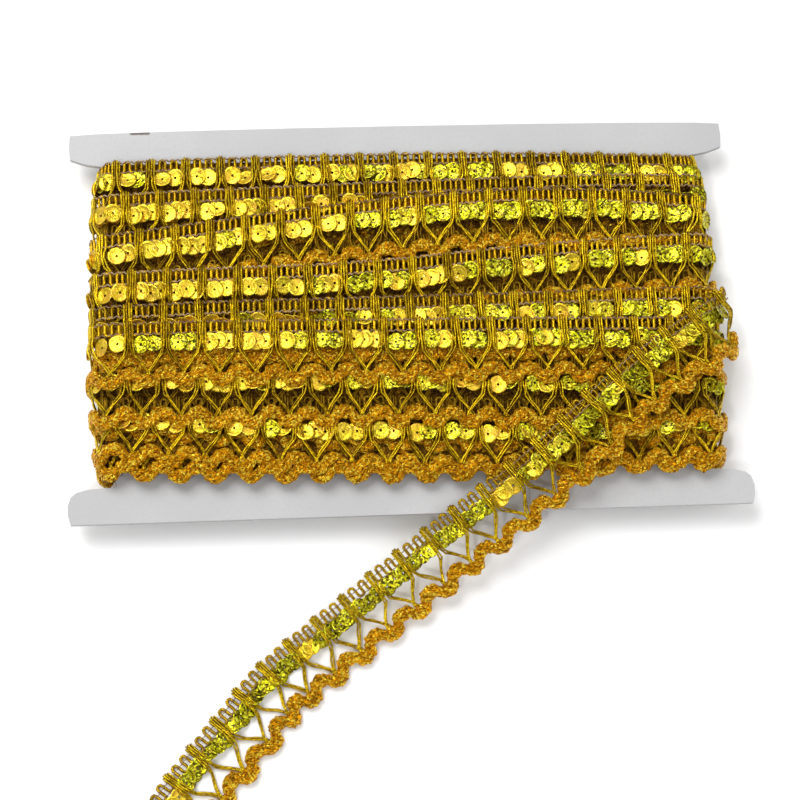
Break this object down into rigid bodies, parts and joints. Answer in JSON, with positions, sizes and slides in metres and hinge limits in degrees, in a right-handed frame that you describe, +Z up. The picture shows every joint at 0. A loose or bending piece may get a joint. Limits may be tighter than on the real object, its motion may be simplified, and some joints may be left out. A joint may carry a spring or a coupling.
{
  "type": "sequin trim",
  "caption": "Sequin and gold braid trim wound flat on a white H-shaped card, with its loose end drawn across the front and down to the table",
  "frame": {"origin": "On the table under the middle of the card, on the winding's pressed underside", "axes": "+X along the card's long side, +Y towards the card's upper edge, +Z up through the card from the table"},
  "size_m": [0.2026, 0.2187, 0.0216],
  "materials": {
    "white_card": "plain matt white paperboard",
    "gold_trim": "gold metallic thread cords and header with sequins",
    "gold_sequin": "thin glossy yellow-gold foil sequin with coloured glitter",
    "gold_braid": "rough sparkling orange-gold tinsel braid"
  },
  "bodies": {
    "root": {"card": "white_card", "wound_trim": "gold_trim", "loose_end": "gold_trim"}
  },
  "joints": []
}
